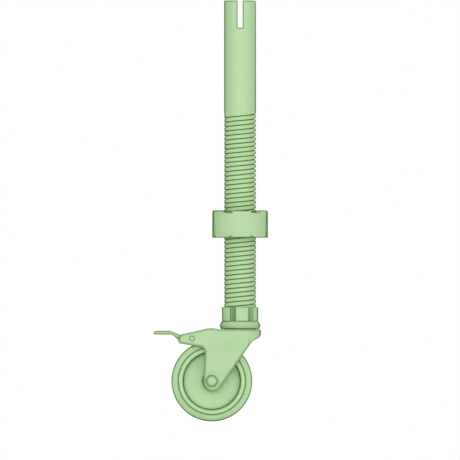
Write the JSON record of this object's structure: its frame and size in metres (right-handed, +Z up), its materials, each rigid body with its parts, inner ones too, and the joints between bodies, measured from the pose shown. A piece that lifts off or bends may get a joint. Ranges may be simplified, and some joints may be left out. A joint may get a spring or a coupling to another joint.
{
  "type": "levelling castor",
  "caption": "Braked swivel castor on a threaded tubular leg, with a notched adjusting nut that raises or lowers the frame resting on it.",
  "frame": {"origin": "centre of the leg's top end", "axes": "+Z up along the leg, the wheel and the brake pedal trail towards -X, the axle lies along Y"},
  "size_m": [0.1765, 0.0862, 0.651],
  "materials": {
    "leg_coat": "satin powder coat on steel",
    "castor_coat": "satin powder coat on pressed steel",
    "nut_moulding": "moulded glass-filled nylon",
    "wheel_core": "moulded polypropylene",
    "tyre": "matte elastic tread",
    "bare_steel": "zinc-plated steel",
    "acetal": "natural acetal"
  },
  "bodies": {
    "leg": {"leg_tube": "leg_coat", "leg_plug": "bare_steel", "slotted_collar": "leg_coat", "head_cap": "castor_coat", "upper_race": "bare_steel", "king_sleeve": "bare_steel", "king_bolt": "bare_steel", "lower_race": "bare_steel"},
    "fork": {"fork": "castor_coat", "upper_bearing_ring": "acetal", "lower_bearing_ring": "acetal", "axle_sleeve": "bare_steel", "axle_bolt": "castor_coat", "axle_nut": "castor_coat", "brake_pin": "castor_coat", "brake_leaf_spring": "bare_steel"},
    "wheel": {"tyre": "tyre", "wheel_rim": "wheel_core", "bearing_shell": "bare_steel", "hub_washers": "acetal"},
    "roller_set": {"roller_cage": "acetal", "rollers": "bare_steel"},
    "pedal": {"brake_pedal": "castor_coat", "brake_shoe": "bare_steel"},
    "nut_seat": {"thrust_washer": "bare_steel"},
    "nut": {"adjusting_nut": "nut_moulding"}
  },
  "joints": [
    {"name": "swivel", "type": "hinge", "parent": "leg", "child": "fork", "pos_m": [0, 0, -0.51], "axis": [0, 0, 1], "continuous": true},
    {"name": "wheel_spin", "type": "hinge", "parent": "fork", "child": "wheel", "pos_m": [-0.0437, 0, -0.5885], "axis": [0, 1, 0], "continuous": true},
    {"name": "roller_orbit", "type": "hinge", "parent": "fork", "child": "roller_set", "pos_m": [-0.0437, 0, -0.5885], "axis": [0, 1, 0], "continuous": true},
    {"name": "brake_press", "type": "hinge", "parent": "fork", "child": "pedal", "pos_m": [-0.0744, 0, -0.523], "axis": [0, -1, 0], "range_deg": [0, 25]},
    {"name": "nut_travel", "type": "slide", "parent": "leg", "child": "nut_seat", "axis": [0, 0, 1], "range_m": [-0.105, 0.144]},
    {"name": "nut_turn", "type": "hinge", "parent": "nut_seat", "child": "nut", "pos_m": [0, 0, -0.3245], "axis": [0, 0, 1], "range_deg": [-2700, 3700]}
  ],
  "couplings": [
    {"joint": "roller_orbit", "follows": "wheel_spin", "ratio": 0.58064},
    {"joint": "nut_travel", "follows": "nut_turn", "m_per_rad": 0.0022228}
  ]
}
